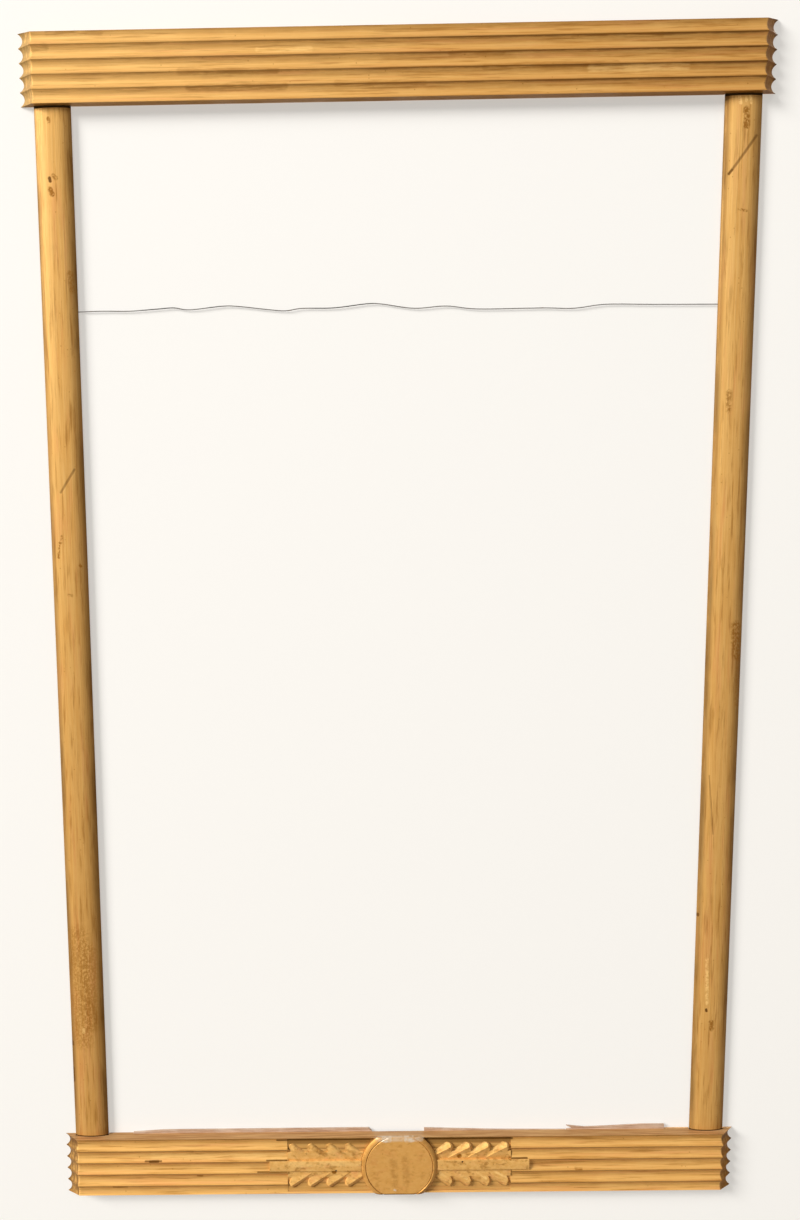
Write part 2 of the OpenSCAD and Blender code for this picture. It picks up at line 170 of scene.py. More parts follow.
RIGHT_POST_MARKS = [
    ("scratch", 15, -88, -15, -130, 0.5, 2, 0.6),
    ("scratch", -12, -126, -15, -130, 0.8, 1.2, 0.6),
    ("rub", -7, -44, -5, -52, 1.1, 1.5, 0.9), ("rub", 6, -44, 7, -52, 0.9, 1.2, 0.9),
    ("rub", 1, -44, 1.5, -50, 0.8, 1.2, 0.9), ("stain", 1.6, -59, 2.6, -77, 2.4, 2.6, 0.9),
    ("stain", -3, -170, 6, -172, 0.9, 1.2, 0.8), ("stain", -6.4, -380, -6, -401, 1.6, 3, 0.8),
    ("stain", 13, -662, 15.5, -698, 3.5, 6, 0.85), ("stain", 17, -700, 18, -760, 1.5, 3, 0.6),
    ("scratch", -13, -850, -6, -925, 0.35, 1, 0.35),
    ("scratch", -6.6, -1158, -6.4, -1160, 1, 1, 0.9),
    ("stain", 0, -1175, 1, -1184, 1.8, 2.4, 0.9),
    ("scratch", -20.5, -1031, -20.5, -1033, 1, 1, 0.8),
    ("rub", -8, -1090, -6, -1150, 1, 2, 0.6),
]
SPRAY_MARKS = [
    ("stain", 78, 12.6, 78.5, 12.6, 2.2, 1.6, 1), ("stain", -84.8, -8.2, -84, -8.2, 2.2, 1.6, 1),
    # Painted shadow with grime: the two long lines near the leaf tips, under the ledge.
    ("scratch", 34, 34.6, 146, 34.4, 1, 2.4, 0.5), ("scratch", -158, 34.6, -38, 34.6, 1, 2, 0.5),
    ("stain", 40, -32, 146, -33, 2, 3, 0.7), ("stain", -146, -32, -50, -33, 2.4, 3, 0.8),
    # Painted highlights on the steep sides of the right spray's upper leaves.
    ("rub", 47, 20, 63, 31, 1.4, 2, 0.3), ("rub", 72, 21, 94, 31, 1.4, 2, 0.3),
    ("rub", 97, 20, 114, 31, 1.4, 2, 0.3), ("rub", 121, 20, 138, 29, 1.4, 2, 0.3),
    ("stain", 140, 12, 144, 9, 1.4, 1.6, 0.9), ("stain", -75, 20, -60, 18, 2.4, 3, 0.5),
    # Painted highlights on the right spray's lower leaves.
    ("rub", 101, -10, 113, -19, 0.8, 1.4, 0.75), ("rub", 124, -10, 140, -18, 0.8, 1.4, 0.75),
    ("rub", 76, -11, 88, -19, 0.8, 1.4, 0.6), ("rub", 53, -11, 63, -18, 0.8, 1.4, 0.4),
    ("stain", -110, 24, -96, 16, 2, 3, 0.6), ("rub", -140, 4, -40, 5, 2, 4, 0.5),
]
MEDALLION_MARKS = [
    ("chip", -28, 40, 28, 40, 1.6, 4, 0.5), ("chip", -21, 38, -12, 38, 1.4, 2.6, 0.8),
    ("chip", 9, 38, 17, 38, 1.4, 2.6, 0.8), ("chip", -6.5, -31.6, -5, -32, 0.9, 1, 0.9),
    # The stain on the left rim and the two on the lower right rim are painted shade that dims the
    # rim's highlights.
    ("stain", -47, 16, -48, -16, 1.6, 2, 0.35), ("scratch", -30, -38, 30, -38, 0.6, 1, 0.8),
    ("stain", 20, -40, 33, -34, 2, 2, 0.9), ("stain", 33, -34, 42, -24, 2, 2, 0.6),
    ("stain", -8, 10, -6, -24, 2, 5, 0.35), ("stain", 8, 12, 9, -22, 2, 5, 0.3),
]


def linear(r, g, b):
    """A display colour from 0 to 255 as the linear colour that shaders use."""
    def one(v):
        v /= 255
        return v / 12.92 if v <= 0.04045 else ((v + 0.055) / 1.055) ** 2.4
    return (one(r), one(g), one(b), 1.0)


# Sizes and colours that a user would change

def shade(name, description, *rgb):
    return FloatVectorProperty(name=name, description=description, subtype="COLOR", size=4,
                               min=0, max=1, default=linear(*rgb))


def length(name, description, low, high, default):
    """A length setting, given in millimetres."""
    return FloatProperty(name=name, description=description, unit="LENGTH", min=low * MM,
                         max=high * MM, default=default * MM)


def number(name, description, low, high, default, **more):
    return FloatProperty(name=name, description=description, min=low, max=high,
                         default=default, **more)


def factor(name, description, default):
    return number(name, description, 0, 1, default, subtype="FACTOR")


def slope(name, description, low, high, degrees):
    return number(name, description, low, high, math.radians(degrees), subtype="ANGLE")


class GiltFinish(bpy.types.PropertyGroup):
    gold: shade("Gold", "Sound gold paint", 219, 167, 93)
    tan: shade("Tan", "Paint that has dulled", 194, 138, 66)
    # Pale gold is also painted highlights and painted light on the header's left.
    pale: shade("Pale gold", "Rubbed, brighter paint", 248, 206, 132)
    rose: shade("Rose gold", "Paint that has turned reddish", 214, 146, 88)
    # Brown is also painted shade: the rails' falloff towards the right and the header's under face.
    brown: shade("Brown", "Old stained paint", 140, 89, 26)
    # Grime is also painted shade: under the arrises, on the posts' right sides, under the seat's
    # ledge and inside the medallion's rim.
    grime_and_shade: shade("Grime", "Dirt in hollows and scratches", 82, 47, 7)
    dust: shade("Dust", "Grey dirt on worn edges", 86, 62, 34)
    sheen: shade("Sheen", "Colour of the paint's gloss", 255, 206, 140)
    # Gap is dark dirt with painted shade in the posts' open joints, and a painted contact shadow at
    # their feet.
    gap: shade("Gap", "Darkness in the open joints", 30, 16, 8)
    ochre: shade("Ochre", "Flat paint of the medallion", 204, 148, 76)
    gesso: shade("Gesso", "Chalk ground under the paint", 224, 210, 190)
    bare: shade("Bare top", "Reddish wood of the bottom rail's top", 202, 160, 110)
    bare_dark: shade("Bare top, dark", "Dark streaks of that wood", 164, 118, 74)
    metal: factor("Metal", "Share of bronze powder in the paint", 0.2)
    roughness: factor("Roughness", "Dullness of the paint", 0.42)


class WoodFinish(bpy.types.PropertyGroup):
    broken: shade("Broken wood", "Wood of the broken lip", 208, 178, 152)
    dark: shade("Dark grain", "Dark lines of the broken wood", 158, 118, 90)
    grey: shade("Grey wood", "Weathered patches of the broken wood", 220, 202, 184)


class MetalFinish(bpy.types.PropertyGroup):
    wire: shade("Wire", "Dull drawn wire", 124, 120, 116)
    nail: shade("Nails", "Old nail steel", 70, 58, 46)
    rust: shade("Rust", "Rust on the steel", 92, 56, 30)
    dull: shade("Dull steel", "Duller patches of the steel", 84, 80, 78)
    dark: shade("Dark wire", "Dark stretches of the wire", 52, 49, 48)


class SprayShape(bpy.types.PropertyGroup):
    pitch: length("Leaf pitch", "Leaves apart along the bar", 15, 40, 24.3)
    first: length("First leaf", "Middle of the first leaf from the frame's middle", 35, 70, 52.5)
    leaf: length("Leaf length", "Length of a leaf", 30, 60, 41)
    width: length("Leaf width", "Width of a leaf", 8, 24, 20)
    upper: length("Upper leaves", "Their middle above the bar's middle", 12, 24, 16.6)
    lower: length("Lower leaves", "Their middle below the bar's middle", 12, 24, 18)
    swell: length("Swell", "Half the thickness of a leaf before its ridge is cut", 2, 9, 8)
    face: length("Ridge", "Height of a leaf's ridge over the seat", 1, 4.2, 3.5)
    worn_face: length("Worn ridge", "That height on the left spray's upper leaves", 1, 4.2, 2.4)
    worn_swell: length("Worn swell", "Swell of those leaves", 2, 9, 3.4)
    edge: length("Edge", "Rounding along the bar", 0.1, 1.5, 0.5)
    gap: length("Gap", "Gap round the medallion", 0.1, 1, 0.4)
    lean: slope("Lean", "Leaf's angle to the bar", 0.3, 1.1, 31)
    steep: slope("Steep side", "Slope of a leaf's outer side", 0.2, 1.4, 32)
    gentle: slope("Gentle side", "Slope of a leaf's inner side", 0.05, 1.2, 19)
    count: IntProperty(name="Leaves", description="Leaves on each side of the bar", min=2,
                       max=5, default=4)
    root: length("Root", "Thickness of the ground that the leaves grow from", 0.5, 3, 1.7)
    root_reach: length("Root's reach", "Reach of that ground from the bar", 5, 20, 11)


class WireSizes(bpy.types.PropertyGroup):
    diameter: length("Diameter", "Diameter of the wire", 0.8, 2, 1.2)
    drop: length("Drop", "Wire below the middle of the header", 100, 500, 274)
    off_wall: length("Off the wall", "Wire's middle line to the wall", 0, 10, 1.9)


class StageSettings(bpy.types.PropertyGroup):
    wall: shade("Wall", "Colour of the wall and floor", 251, 249, 245)
    bounce: shade("Bounce", "Light that the backdrop returns", 150, 140, 124)
    glow: factor("Glow", "Share of the backdrop that shading leaves", 0.46)
    ambient: number("Ambient", "Soft light from all round", 0, 2, 0.25)
    window: number("Window", "Power of the wide light from the left", 0, 12000, 6250)
    lamp: number("Lamp", "Power of the soft light in front", 0, 500, 10)
    rear: number("Rear", "Power of the light behind the wall", 0, 500, 40)
    eye: FloatVectorProperty(name="Eye", description="Place of the camera", size=3,
                             unit="LENGTH", default=(-0.1352, -1.486, -0.424))
    turn: FloatProperty(name="Turn", description="Camera's turn to the left", unit="ROTATION",
                        default=0.0102)
    tilt: FloatProperty(name="Tilt", description="Camera's tilt upwards", unit="ROTATION",
                        default=-0.14125)
    roll: FloatProperty(name="Roll", description="Camera's roll", unit="ROTATION", default=0.0154)
    lens: number("Lens", "Lens for a 36 mm long side", 10, 200, 36)
    shift: number("Shift", "Sideways shift of the picture", -1, 1, 0.1024)


class DisplayFrameSettings(bpy.types.PropertyGroup):
    gilt: PointerProperty(type=GiltFinish)
    wood: PointerProperty(type=WoodFinish)
    steel: PointerProperty(type=MetalFinish)
    spray: PointerProperty(type=SprayShape)
    wire: PointerProperty(type=WireSizes)
    stage: PointerProperty(type=StageSettings)


# Node trees

def feed(node, inputs):
    """Fills a node's inputs; each is a value or the socket that feeds it."""
    for key, value in inputs.items():
        if isinstance(value, bpy.types.NodeSocket):
            node.id_data.links.new(value, node.inputs[key])
        else:
            node.inputs[key].default_value = value
    return node


def add_node(tree, kind, inputs=None, **settings):
    node = tree.nodes.new(kind)
    for key, value in settings.items():
        setattr(node, key, value)
    return feed(node, inputs or {})


def fed_node(kind, inputs, **settings):
    """A node in the tree of the sockets that feed it."""
    tree = next(v.id_data for v in inputs.values() if isinstance(v, bpy.types.NodeSocket))
    return add_node(tree, kind, inputs, **settings)


def math_node(operation, a, b=0.0, clamp=False):
    return fed_node("ShaderNodeMath", {0: a, 1: b}, operation=operation,
                    use_clamp=clamp).outputs[0]


def vector_node(operation, a, b=(0, 0, 0), result="Vector"):
    return fed_node("ShaderNodeVectorMath", {0: a, 1: b}, operation=operation).outputs[result]


def ramp(value, low, high, to_low=0.0, to_high=1.0, smooth=True):
    """A value taken from the range low to high into the range to_low to to_high."""
    return fed_node("ShaderNodeMapRange", {"Value": value, "From Min": low, "From Max": high,
                                           "To Min": to_low, "To Max": to_high},
                    interpolation_type="SMOOTHSTEP" if smooth else "LINEAR").outputs["Result"]


def band(value, out_low, low, high, out_high):
    """1 from low to high, fading to 0 at the outer values."""
    return times(ramp(value, out_low, low), ramp(value, out_high, high))


def weaker(mask, least):
    """A mask that falls to least where it fell to 0."""
    return ramp(mask, 0, 1, least, 1)


def mix_colour(share, a, b):
    return fed_node("ShaderNodeMix", {0: share, 6: a, 7: b}, data_type="RGBA").outputs[2]


def parts(vector):
    """The three parts of a vector, such as X, Y and Z of a place."""
    return fed_node("ShaderNodeSeparateXYZ", {0: vector}).outputs


def new_group(name, inputs, outputs):
    """An empty shader group, the sockets that it is given and those that it gives back."""
    group = bpy.data.node_groups.new(name, "ShaderNodeTree")
    for title, default in inputs.items():
        kind = "NodeSocketVector" if isinstance(default, tuple) else "NodeSocketFloat"
        socket = group.interface.new_socket(title, in_out="INPUT", socket_type=kind)
        socket.default_value = default
    for title in outputs:
        group.interface.new_socket(title, in_out="OUTPUT", socket_type="NodeSocketFloat")
    given, out = group.nodes.new("NodeGroupInput"), group.nodes.new("NodeGroupOutput")
    return group, given.outputs, out.inputs


def use_group(make, inputs, output=0):
    """One use of a shared group, which is made on its first use."""
    name = make.__name__
    group = bpy.data.node_groups.get(name) or make(name)
    return fed_node("ShaderNodeGroup", inputs, node_tree=group).outputs[output]


def stretched_noise(name):
    """Streaks or clouds: noise whose scale differs along each axis."""
    group, given, out = new_group(name, {
        "Vector": (0, 0, 0), "Stretch": (1, 1, 1), "Low": 0.4, "High": 0.6, "Detail": 4.0,
    }, ["Fac"])
    scaled = vector_node("MULTIPLY", given["Vector"], given["Stretch"])
    noise = fed_node("ShaderNodeTexNoise", {"Vector": scaled, "Scale": 1.0,
                                            "Detail": given["Detail"], "Roughness": 0.6})
    group.links.new(ramp(noise.outputs["Fac"], given["Low"], given["High"]), out["Fac"])
    return group


def fly_specks(name):
    """Small round specks, some cells of a scatter only."""
    group, given, out = new_group(name, {
        "Vector": (0, 0, 0), "Scale": 300.0, "Radius": 0.3, "Share": 0.3,
    }, ["Fac"])
    cells = fed_node("ShaderNodeTexVoronoi", {"Vector": given["Vector"], "Scale": given["Scale"]})
    near = math_node("DIVIDE", cells.outputs["Distance"], given["Radius"])
    spot = ramp(near, 1.0, 0.4)
    chosen = fed_node("ShaderNodeSeparateColor", {0: cells.outputs["Color"]})
    picked = math_node("LESS_THAN", chosen.outputs[0], given["Share"])
    group.links.new(times(spot, picked), out["Fac"])
    return group


def stroke_mark(name):
    """A straight scratch or smear on the front, between two points seen from the front."""
    group, given, out = new_group(name, {
        "Vector": (0, 0, 0), "From": (0, 0, 0), "To": (0, 0, 1), "Half width": 1 * MM,
        "Soft": 1 * MM,
    }, ["Fac"])
    flat = vector_node("MULTIPLY", given["Vector"], (1, 0, 1))
    wobble = fed_node("ShaderNodeTexNoise", {"Vector": flat, "Scale": 220.0, "Detail": 3.0})
    off = vector_node("SUBTRACT", wobble.outputs["Color"], (0.5, 0.5, 0.5))
    reach = fed_node("ShaderNodeVectorMath", {0: off, "Scale": given["Half width"]},
                     operation="SCALE")
    rough = vector_node("ADD", flat, reach.outputs["Vector"])
    from_start = vector_node("SUBTRACT", rough, given["From"])
    along = vector_node("SUBTRACT", given["To"], given["From"])
    share = math_node("DIVIDE", vector_node("DOT_PRODUCT", from_start, along, "Value"),
                      vector_node("DOT_PRODUCT", along, along, "Value"), clamp=True)
    foot = fed_node("ShaderNodeVectorMath", {0: along, "Scale": share}, operation="SCALE")
    gap = vector_node("DISTANCE", from_start, foot.outputs["Vector"], "Value")
    edge = math_node("ADD", given["Half width"], given["Soft"])
    group.links.new(ramp(gap, edge, given["Half width"]), out["Fac"])
    return group


def flute_grime_and_shade(name):
    """Dirt and painted shade on a fluted rail: a broken dark line under each arris, partly dirt and
    partly painted shade, and a soft brown tone on the arris's upper side with a band of painted
    shade under the line."""
    group, given, out = new_group(name, {
        "Vector": (0, 0, 0), "Foot": 0.0, "Pitch": PITCH, "Width": 0.14,
    }, ["Line", "Side"])
    above = math_node("SUBTRACT", parts(given["Vector"])[2], given["Foot"])
    share = math_node("FRACT", math_node("DIVIDE", above, given["Pitch"]))
    breaks = cloud(given["Vector"], (26, 28, 70), 0.3, 0.7, 5.0)
    width = times(given["Width"], ramp(breaks, 0, 1, 0.45, 1.3, smooth=False))
    start = math_node("SUBTRACT", 1.0, width)
    # The dark line under the arris: partly dirt, partly painted shade where the arris overhangs.
    group.links.new(ramp(share, start, 0.97), out["Line"])
    lower = ramp(share, 0.16, 0.02)
    # A band of painted shade across the flute, under the dark line.
    dip = times(band(share, 0.42, 0.56, 0.62, 0.8), breaks)
    group.links.new(math_node("MAXIMUM", lower, dip), out["Side"])
    return group


def new_material(name):
    """A material with its Principled shader and the object's own coordinates."""
    material = bpy.data.materials.new(name)
    material.use_nodes = True
    shader = material.node_tree.nodes["Principled BSDF"]
    place = add_node(material.node_tree, "ShaderNodeTexCoord").outputs["Object"]
    return material, shader, place


def bump(shader, height, distance, strength):
    raised = fed_node("ShaderNodeBump", {"Height": height, "Distance": distance,
                                         "Strength": strength})
    feed(shader, {"Normal": raised.outputs["Normal"]})


def facing(tree, axis, low, high):
    """A mask of faces by their normal's part along an axis (X 0, Y 1, Z 2): 0 at low, 1 at
    high."""
    normal = add_node(tree, "ShaderNodeNewGeometry").outputs["Normal"]
    return ramp(parts(normal)[axis], low, high)


def seen_ray(path):
    """1 on rays that come from the camera, also by way of gloss or glass."""
    bent = math_node("MAXIMUM", path.outputs["Is Glossy Ray"],
                     path.outputs["Is Transmission Ray"])
    return math_node("MAXIMUM", path.outputs["Is Camera Ray"], bent)


def cloud(place, stretch, low, high, detail=4.0):
    """A mask of streaks or clouds; stretch is the number of them in a metre along each axis."""
    return use_group(stretched_noise, {"Vector": place, "Stretch": stretch, "Low": low,
                                       "High": high, "Detail": detail})


def times(first, *masks):
    for mask in masks:
        first = math_node("MULTIPLY", first, mask)
    return first


def tint(colour, mask, share, target):
    """The colour drawn towards the target by a share of the mask."""
    return mix_colour(times(mask, share), colour, target)


def aged_gold(place, finish, rose, fine, dark):
    """The gold paint that all gilt pieces share. rose, fine and dark are the numbers of
    reddish patches, fine pale streaks and dark streaks in a metre along each axis."""
    clouds = cloud(place, (17, 17, 17), 0.35, 0.65)
    streaks = cloud(place, fine, 0.32, 0.68, 6.0)
    colour = tint(finish.gold, clouds, 0.3, finish.tan)
    colour = tint(colour, cloud(place, rose, 0.5, 0.68), 0.6, finish.rose)
    colour = tint(colour, streaks, 0.35, finish.pale)
    colour = tint(colour, cloud(place, dark, 0.5, 0.7, 5.0), 0.6, finish.brown)
    return colour, streaks, clouds


def paint_marks(place, finish, colour, height, marks, middle_x, level, grain):
    """Scratches, stains, chips and rubbed spots, some of which are painted highlights and painted
    shadows. Each mark has its kind, its two ends as x and z in millimetres from the middle and
    the level, half its width, its soft edge and depth. All but the scratches are broken up by
    the piece's own grain."""
    breaks = cloud(place, grain, 0.34, 0.6)
    tones = {"scratch": finish.grime_and_shade, "stain": finish.brown, "chip": finish.gesso,
             "rub": finish.pale}
    for kind, x0, z0, x1, z1, half_width, soft, depth in marks:
        mask = use_group(stroke_mark, {
            "Vector": place, "From": (middle_x + x0 * MM, 0, level + z0 * MM),
            "To": (middle_x + x1 * MM, 0, level + z1 * MM), "Half width": half_width * MM,
            "Soft": soft * MM})
        if kind != "scratch":
            mask = times(mask, weaker(breaks, 0.3) if kind == "chip" else breaks)
        colour = tint(colour, mask, depth, tones[kind])
        if kind == "scratch":
            height = math_node("SUBTRACT", height, times(mask, 2.0))
    return colour, height


def paint_specks(place, finish, colour, scale, share):
    specks = use_group(fly_specks, {"Vector": place, "Scale": scale, "Radius": 0.24,
                                    "Share": share})
    return tint(colour, specks, 0.55, finish.brown)


def close_gilt(shader, finish, colour, height, clouds):
    """Feeds the colour, the gloss and the brushed relief of gilt into its shader."""
    dullness = ramp(clouds, 0, 1, finish.roughness - 0.06, finish.roughness + 0.14, smooth=False)
    feed(shader, {"Base Color": colour, "Metallic": finish.metal, "Roughness": dullness,
                  "Specular IOR Level": 0.25, "Specular Tint": finish.sheen})
    bump(shader, height, 0.15 * MM, 0.6)


def bare_back(place, finish, colour, stretch):
    """Bare wood on the flat back, which was never gilded."""
    grain = cloud(place, stretch, 0.3, 0.7, 6.0)
    wood = mix_colour(grain, finish.bare_dark, finish.bare)
    return mix_colour(facing(place.id_data, 1, 0.9, 0.98), colour, wood)


def rail_material(finish, name, low, high, grime_and_shade_left, grime_and_shade_right, falloff_shade, marks, details):
    """Gilt of a fluted rail: strokes along X, a painted falloff of light that browns it towards
    the right, a dark line under each arris, partly dirt and partly painted shade, that differs
    from left to right, worn left end, dark right end, its own details, and a bare back."""
    material, shader, place = new_material(name)
    colour, streaks, clouds = aged_gold(place, finish, (7, 90, 170), (12, 420, 800),
                                        (15, 260, 420))
    x = parts(place)[0]
    rightward = ramp(x, low.x, high.x, smooth=False)
    # Painted falloff of light: browner towards the right.
    colour = tint(colour, rightward, falloff_shade, finish.brown)
    under, soft_side = [use_group(flute_grime_and_shade, {"Vector": place, "Foot": low.z,
                                                "Pitch": PITCH, "Width": 0.2}, i)
                        for i in (0, 1)]
    # The dark line under each arris, dirt and painted shade, deepens from left to right.
    depth = ramp(rightward, 0, 1, grime_and_shade_left, grime_and_shade_right, smooth=False)
    colour = mix_colour(times(under, depth), colour, finish.grime_and_shade)
    colour = mix_colour(times(soft_side, depth, 0.55), colour, finish.brown)
    stripes = cloud(place, (520, 120, 90), 0.3, 0.62, 5.0)
    for side, corner, share, tip_start, end_colour in (
            (-1, low.x, 0.85, 12.0, finish.dust), (1, high.x, 0.9, 6.0, finish.brown)):
        out = times(x, float(side))
        reach = side * corner
        end = ramp(out, reach - END_RUN - 0.5 * MM, reach - END_RUN + 0.7 * MM)
        worn = times(end, weaker(stripes, 0.45))
        colour = tint(colour, worn, share, end_colour)
        tip = ramp(out, reach - tip_start * MM, reach - 1.5 * MM)
        worn = times(tip, weaker(stripes, 0.6))
        colour = tint(colour, worn, 0.85, finish.dust)
    colour = paint_specks(place, finish, colour, 210.0, 0.05)
    colour, height = paint_marks(place, finish, colour, streaks, marks, 0.0,
                                 (low.z + high.z) / 2, (45, 300, 520))
    colour = details(place, finish, colour)
    colour = bare_back(place, finish, colour, (9, 9, 420))
    close_gilt(shader, finish, colour, height, clouds)
    return material


def header_details(place, finish, colour):
    """Painted light that makes the left part paler, and painted shade that browns the under face.
    """
    painted_light_left = ramp(parts(place)[0], 0.1, header_low.x, smooth=False)
    # Painted light: paler towards the left.
    colour = tint(colour, painted_light_left, 0.25, finish.pale)
    # Painted shade on the faces that look down.
    return tint(colour, facing(place.id_data, 2, -0.8, -0.95), 0.45, finish.brown)


def bottom_details(place, finish, colour):
    """Reddish bare top, and the seat's floor: browned, and darkest in its top band with grime and
    painted shadow under the ledge.
    """
    _, y, z = parts(place)
    worn = cloud(place, (20, 500, 500), 0.35, 0.65, 6.0)
    bare = mix_colour(worn, finish.bare, finish.bare_dark)
    colour = tint(colour, facing(place.id_data, 2, 0.8, 0.95), 0.9, bare)
    edge = ramp(z, bottom_low.z + 2.4 * MM, bottom_low.z + 1.4 * MM)
    colour = tint(colour, edge, 0.25, finish.tan)
    floor = times(ramp(y, -SEAT_Y - 0.25 * MM, -SEAT_Y - 0.1 * MM),
                  ramp(z, BOTTOM_TOP - 1 * MM, BOTTOM_TOP - 1.6 * MM))
    colour = tint(colour, floor, 0.15, finish.brown)
    # Painted shadow under the seat's top ledge, with grime.
    dark = ramp(z, BOTTOM_MID + 27 * MM, BOTTOM_MID + 32 * MM)
    return tint(colour, times(floor, dark), 0.6, finish.grime_and_shade)


def post_material(finish, name, middle_x, foot_brown, marks):
    """Gilt of a post: strokes along Z, a painted highlight band on its upper left part, worn grey
    left edge, right edge darkened by grime and painted shade, browner foot, and dirt and painted
    shade in the open joint and at the foot.
    """
    material, shader, place = new_material(name)
    colour, streaks, clouds = aged_gold(place, finish, (90, 40, 9), (800, 400, 14),
                                        (260, 120, 16))
    x, _, z = parts(place)
    t = math_node("DIVIDE", math_node("SUBTRACT", x, middle_x), POST_HALF)
    low_down = ramp(z, -0.35, -0.95, 0.12, foot_brown, smooth=False)
    colour = mix_colour(low_down, colour, finish.brown)
    # Painted highlight: a pale band on the upper left part of the post.
    painted_highlight = times(band(t, -0.85, -0.6, -0.35, -0.15), ramp(z, -0.8, -0.1))
    colour = tint(colour, painted_highlight, 0.2, finish.pale)
    patchy = weaker(cloud(place, (60, 60, 11), 0.3, 0.7), 0.7)
    # Grime and painted shade on the right side, which turns from the light.
    colour = tint(colour, times(ramp(t, 0.2, 1.0), patchy), 0.75, finish.grime_and_shade)
    colour = tint(colour, times(ramp(t, -0.62, -0.95), patchy), 0.75, finish.dust)
    colour = paint_specks(place, finish, colour, 260.0, 0.07)
    colour, height = paint_marks(place, finish, colour, streaks, marks, middle_x, 0.0,
                                 (430, 400, 330))
    # Dark dirt and painted shade in the open joint under the header, and a painted contact shadow
    # at the foot.
    inside = math_node("MAXIMUM", ramp(z, POST_TOP - 0.3 * MM, POST_TOP + 0.1 * MM),
                       ramp(z, BOTTOM_TOP + 1.7 * MM, BOTTOM_TOP + 0.9 * MM))
    colour = mix_colour(times(inside, 0.95), colour, finish.gap)
    colour = bare_back(place, finish, colour, (420, 9, 9))
    close_gilt(shader, finish, colour, height, clouds)
    return material


def medallion_details(place, finish, colour):
    """Duller rim, and a thin dark line inside it that fades to the right: grime in the groove and
    painted shade on the rim's inner side.
    """
    x = parts(place)[0]
    flat = vector_node("MULTIPLY", vector_node("SUBTRACT", place, (0, 0, BOTTOM_MID)), (1, 0, 1))
    radius = vector_node("LENGTH", flat, result="Value")
    # The dark line: grime in the groove and painted shade on the rim's inner side, fading to the
    # right.
    line = times(band(radius, 42.4 * MM, 43.1 * MM, 43.7 * MM, 44.4 * MM),
                 ramp(x, 20 * MM, -25 * MM, 0.25, 1.0))
    colour = tint(colour, ramp(radius, 43.4 * MM, 45 * MM), 0.25, finish.brown)
    return tint(colour, line, 0.4, finish.grime_and_shade)


def carved_material(finish, name, deep, shallow, tone, marks, details=None):
    """Gilt of a carved ornament, with dirt from the shallow level down to the deep one."""
    material, shader, place = new_material(name)
    colour, streaks, clouds = aged_gold(place, finish, (60, 60, 80), (160, 160, 240),
                                        (130, 130, 190))
    _, y, z = parts(place)
    if tone:
        colour = mix_colour(0.6, colour, tone)
    off_bar = math_node("ABSOLUTE", math_node("SUBTRACT", z, BOTTOM_MID))
    hollow = times(ramp(y, shallow, deep), ramp(off_bar, 16 * MM, 27 * MM))
    broken = weaker(cloud(place, (220, 220, 220), 0.3, 0.6), 0.6)
    colour = tint(colour, times(hollow, broken), 0.55, finish.grime_and_shade)
    colour = paint_specks(place, finish, colour, 230.0, 0.08)
    if details:
        colour = details(place, finish, colour)
    colour, height = paint_marks(place, finish, colour, streaks, marks, 0.0, BOTTOM_MID,
                                 (150, 150, 200))
    close_gilt(shader, finish, colour, height, clouds)
    return material


def steel_material(finish, name, colour, rust_share, dark_runs=()):
    """Dull drawn steel with a little rust; dark_runs are the starts and ends of its dark
    stretches along X."""
    material, shader, place = new_material(name)
    dull = cloud(place, (90, 400, 400), 0.35, 0.7)
    rusty = cloud(place, (240, 240, 240), 0.62 - rust_share, 0.8)
    shade = tint(colour, dull, 0.5, finish.dull)
    x = parts(place)[0]
    for start, end in dark_runs:
        run = band(x, start - RUN_FADE, start + RUN_FADE, end - RUN_FADE, end + RUN_FADE)
        shade = tint(shade, run, 0.75, finish.dark)
    shade = mix_colour(rusty, shade, finish.rust)
    feed(shader, {"Base Color": shade, "Metallic": 0.8,
                  "Roughness": ramp(rusty, 0, 1, 0.38, 0.8, smooth=False)})
    return material


def wood_material(finish, name):
    """Bare broken wood with its grain along X."""
    material, shader, place = new_material(name)
    grain = cloud(place, (24, 700, 700), 0.3, 0.68, 7.0)
    patches = cloud(place, (40, 90, 90), 0.4, 0.7)
    colour = mix_colour(grain, finish.dark, finish.broken)
    colour = tint(colour, patches, 0.45, finish.grey)
    feed(shader, {"Base Color": colour, "Roughness": 0.78})
    bump(shader, grain, 0.25 * MM, 0.8)
    return material


# Modelling helpers

def only(obj):
    """Deselects everything and makes obj the one selected, active object."""
    bpy.ops.object.select_all(action="DESELECT")
    obj.select_set(True)
    bpy.context.view_layer.objects.active = obj
    return obj


def solid(kind, middle, size, rotation=(0, 0, 0), **counts):
    """A primitive of that size, with its place, turn and size in its mesh."""
    bpy.ops.object.select_all(action="DESELECT")
    unit = {"cube": {"size": 1}, "plane": {"size": 1}, "uv_sphere": {"radius": 0.5},
            "cylinder": {"radius": 0.5, "depth": 1}}[kind]
    getattr(bpy.ops.mesh, "primitive_" + kind + "_add")(**unit, **counts)
    obj = only(bpy.context.object)
    obj.scale = size
    obj.rotation_euler = rotation
    obj.location = middle
    bpy.ops.object.transform_apply(location=True, rotation=True, scale=True)
    return obj


